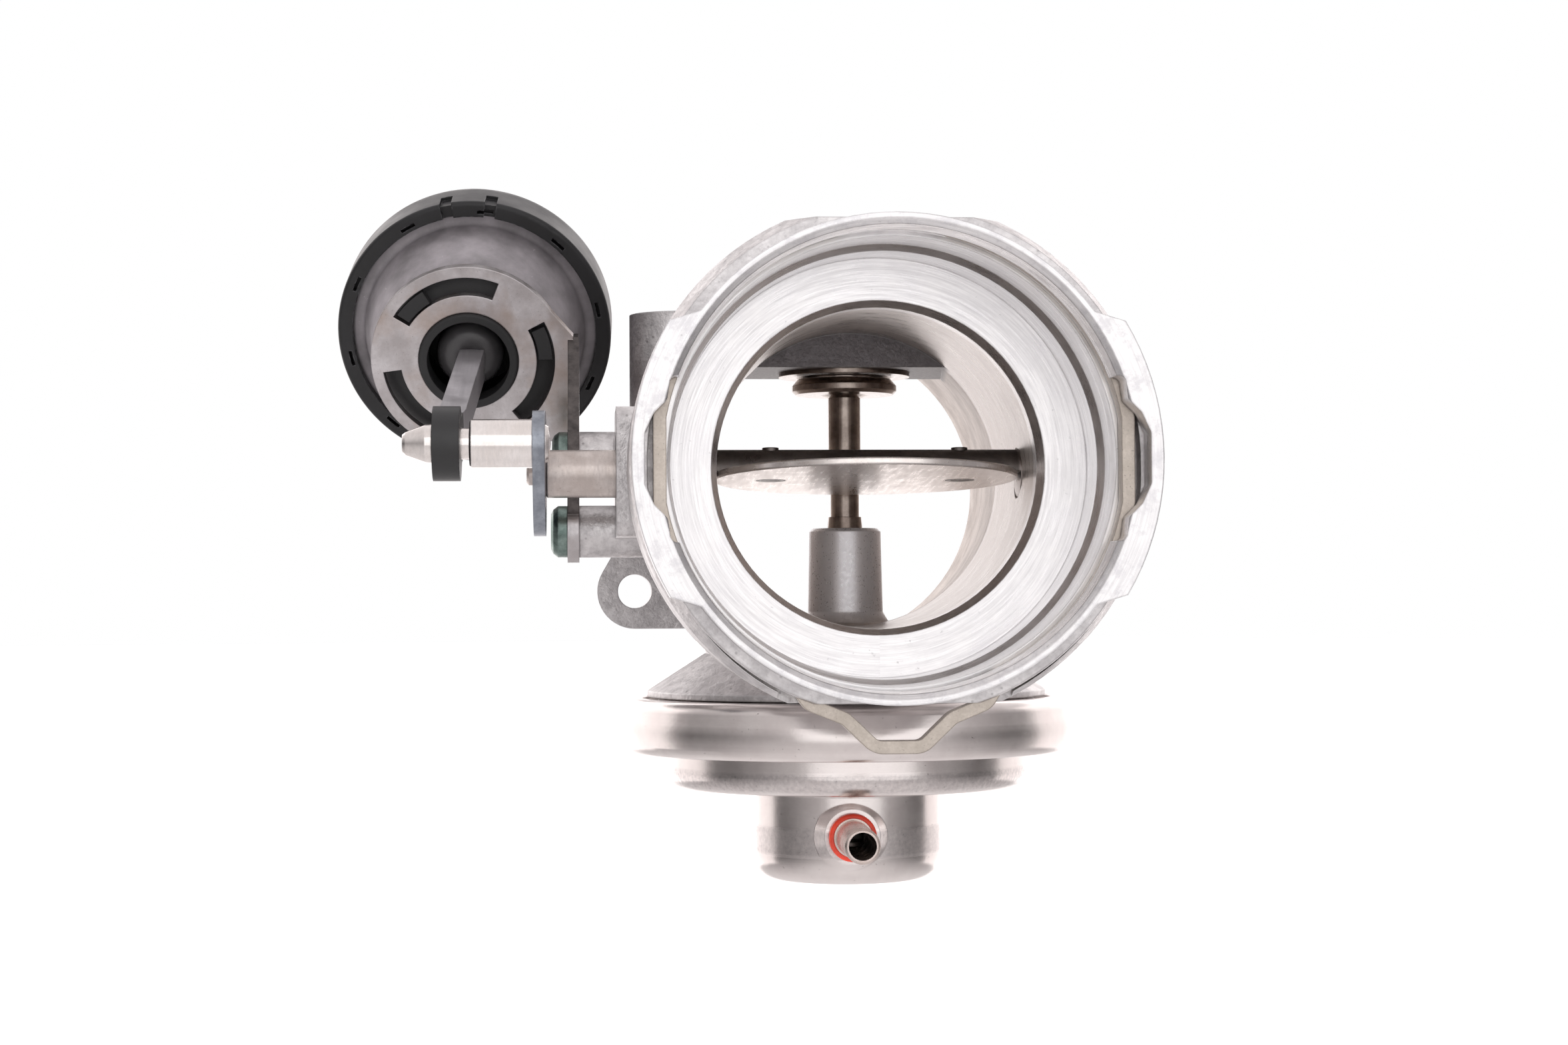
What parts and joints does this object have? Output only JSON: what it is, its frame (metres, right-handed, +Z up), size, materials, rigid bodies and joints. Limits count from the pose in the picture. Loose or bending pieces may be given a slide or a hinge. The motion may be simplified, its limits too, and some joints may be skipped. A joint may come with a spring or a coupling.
{
  "type": "throttle body",
  "caption": "Diesel intake throttle body: a vacuum-driven flap, a vacuum-driven exhaust-gas valve and a clip-in hose socket in one flanged casting.",
  "frame": {"origin": "bore centre on the manifold flange's sealing face", "axes": "+Y along the bore out of the hose collar end towards the manifold, +Z up towards the gas inlet, -X towards the vacuum actuator"},
  "size_m": [0.1374, 0.1301, 0.1267],
  "materials": {
    "cast_aluminium": "die-cast, with turned collar, socket and bore",
    "pressed_steel": "deep-drawn sheet, satin silver",
    "zinc_steel": "bluish zinc plate",
    "bracket_steel": "zinc-plated sheet, satin",
    "green_zinc": "greenish passivated zinc",
    "ground_steel": "ground, slightly brown",
    "pin_steel": "turned and polished",
    "flap_steel": "polished sheet",
    "valve_steel": "heat-resistant steel, polished stem",
    "spring_steel": "drawn spring wire",
    "nipple_steel": "turned tube, satin",
    "sintered_bronze": "sintered bronze",
    "black_nylon": "glass-filled nylon, satin",
    "rod_nylon": "glass-filled nylon, satin",
    "black_rubber": "moulded rubber",
    "red_rubber": "red seal"
  },
  "bodies": {
    "casting": {"housing": "cast_aluminium", "flange_seal": "black_rubber", "shaft_seal": "black_rubber", "shaft_bush_left": "sintered_bronze", "shaft_bush_right": "sintered_bronze", "shaft_end_plug": "zinc_steel", "actuator_bracket": "bracket_steel", "bracket_screws": "green_zinc", "actuator_body": "black_nylon", "actuator_cover": "black_nylon", "actuator_nipple": "black_nylon", "actuator_diaphragm": "black_rubber", "actuator_spring": "spring_steel", "seat_ring": "valve_steel", "stem_guide_bush": "valve_steel", "stem_seal": "black_rubber", "can_upper_shell": "pressed_steel", "can_screws": "zinc_steel", "can_crimp_ring": "pressed_steel", "can_lower_shell": "pressed_steel", "can_nipple": "nipple_steel", "nipple_seal_ring": "red_rubber", "can_diaphragm": "black_rubber", "can_spring": "spring_steel"},
    "clip": {"retaining_clip": "spring_steel"},
    "flap": {"throttle_shaft": "ground_steel", "flap_plate": "flap_steel", "flap_screws": "ground_steel", "crank_lever": "zinc_steel", "crank_pin": "pin_steel"},
    "rod": {"actuator_rod": "rod_nylon"},
    "cup": {"diaphragm_cup": "black_nylon"},
    "gas_valve": {"valve_head": "valve_steel", "valve_stem": "valve_steel", "diaphragm_plate_upper": "zinc_steel", "diaphragm_plate_lower": "zinc_steel", "stem_nut": "zinc_steel"}
  },
  "joints": [
    {"name": "flap_turn", "type": "hinge", "parent": "casting", "child": "flap", "pos_m": [0, -0.0805, 0], "axis": [-1, 0, 0], "range_deg": [0, 82], "stiffness_Nm_per_rad": 0.05, "springref_deg": -34.38},
    {"name": "rod_swing", "type": "hinge", "parent": "flap", "child": "rod", "pos_m": [-0.0695, -0.0905, 0.0045], "axis": [-1, 0, 0], "range_deg": [-82.5, 0]},
    {"name": "actuator_stroke", "type": "slide", "parent": "casting", "child": "cup", "axis": [0.032, 0.9165, 0.3987], "range_m": [0, 0.0145], "deforming": ["actuator_spring", "actuator_diaphragm"]},
    {"name": "valve_lift", "type": "slide", "parent": "casting", "child": "gas_valve", "axis": [0, 0, -1], "range_m": [0, 0.006], "stiffness_N_per_m": 1000, "springref_m": -0.01, "deforming": ["can_spring", "can_diaphragm"]},
    {"name": "clip_pull", "type": "slide", "parent": "casting", "child": "clip", "axis": [0, 0, -1], "range_m": [0, 0.002], "stiffness_N_per_m": 500, "springref_m": -0.003}
  ],
  "couplings": [
    {"joint": "rod_swing", "follows": "flap_turn", "ratio": -1},
    {"joint": "actuator_stroke", "follows": "flap_turn", "m_per_rad": 0.01004}
  ]
}
